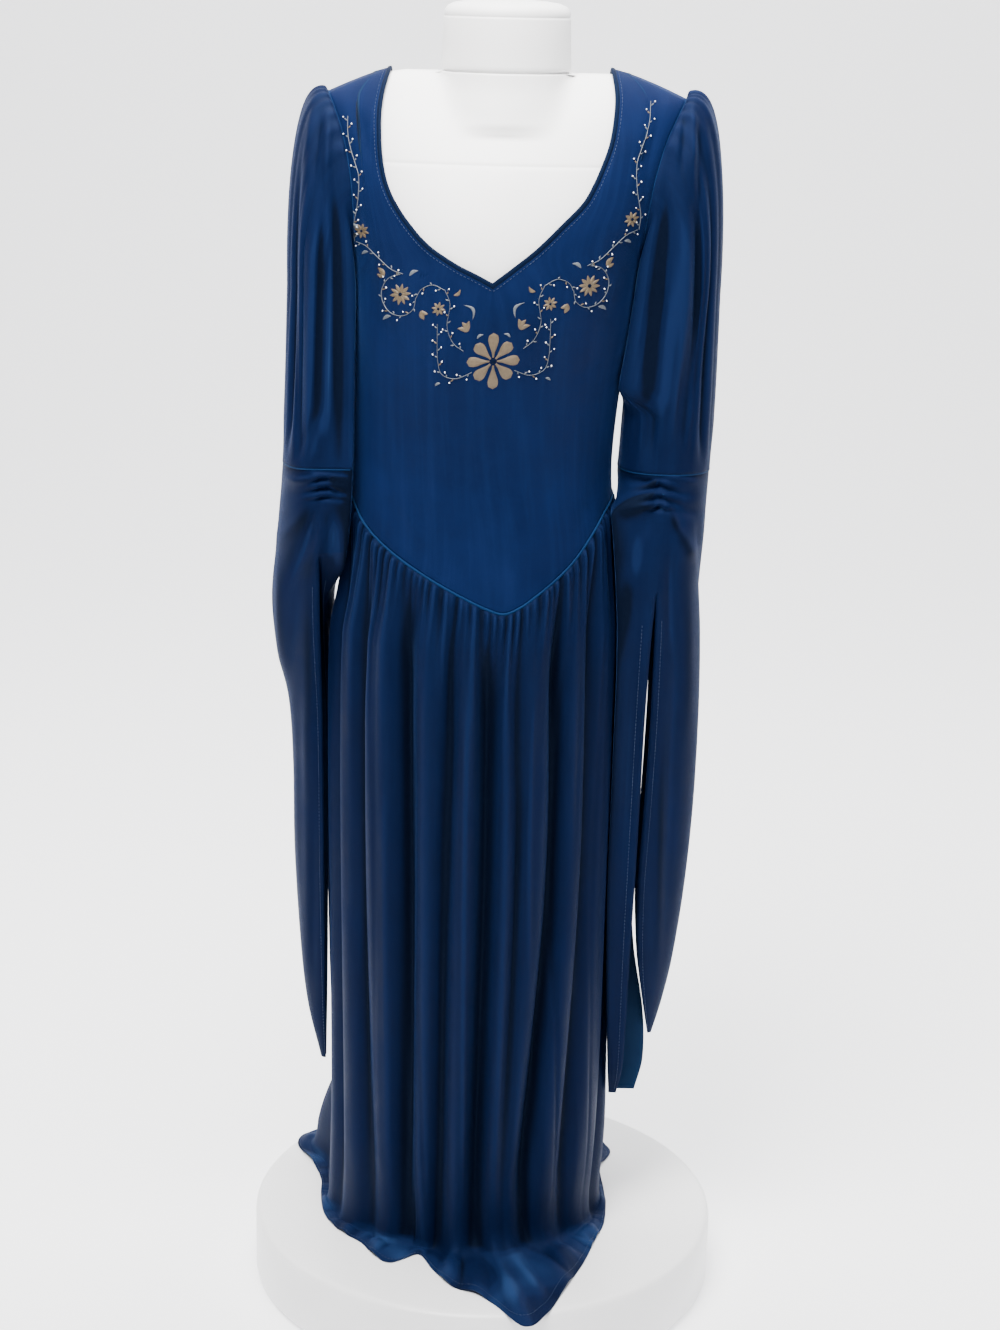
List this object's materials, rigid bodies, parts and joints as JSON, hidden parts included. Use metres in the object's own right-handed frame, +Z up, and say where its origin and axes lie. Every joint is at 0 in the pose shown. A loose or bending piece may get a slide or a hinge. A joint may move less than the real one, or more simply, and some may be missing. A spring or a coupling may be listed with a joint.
{
  "type": "medieval gown on a dress form",
  "caption": "Long blue velvet gown with a pointed waist, gathered skirt and long hanging sleeves, worn by a white limbless dress form on a round base.",
  "frame": {"origin": "middle of the round base's underside", "axes": "+Z up, the front of the gown faces -Y, +X to the right seen from the front"},
  "size_m": [0.594, 0.6118, 1.608],
  "materials": {
    "velvet_blue": "blue velvet with a soft nap",
    "binding_navy": "narrow dark blue binding",
    "form_white": "smooth satin white shell",
    "pole_white": "white satin paint",
    "base_white": "smooth satin white shell"
  },
  "bodies": {
    "root": {"stand_base": "base_white", "stand_pole": "pole_white", "dress_form": "form_white", "bodice_front": "velvet_blue", "bodice_back": "velvet_blue", "neck_binding": "binding_navy", "skirt_front": "velvet_blue", "skirt_back": "velvet_blue", "sleeve_upper_left": "velvet_blue", "sleeve_upper_right": "velvet_blue", "sleeve_lower_left": "velvet_blue", "sleeve_lower_right": "velvet_blue"}
  },
  "joints": []
}
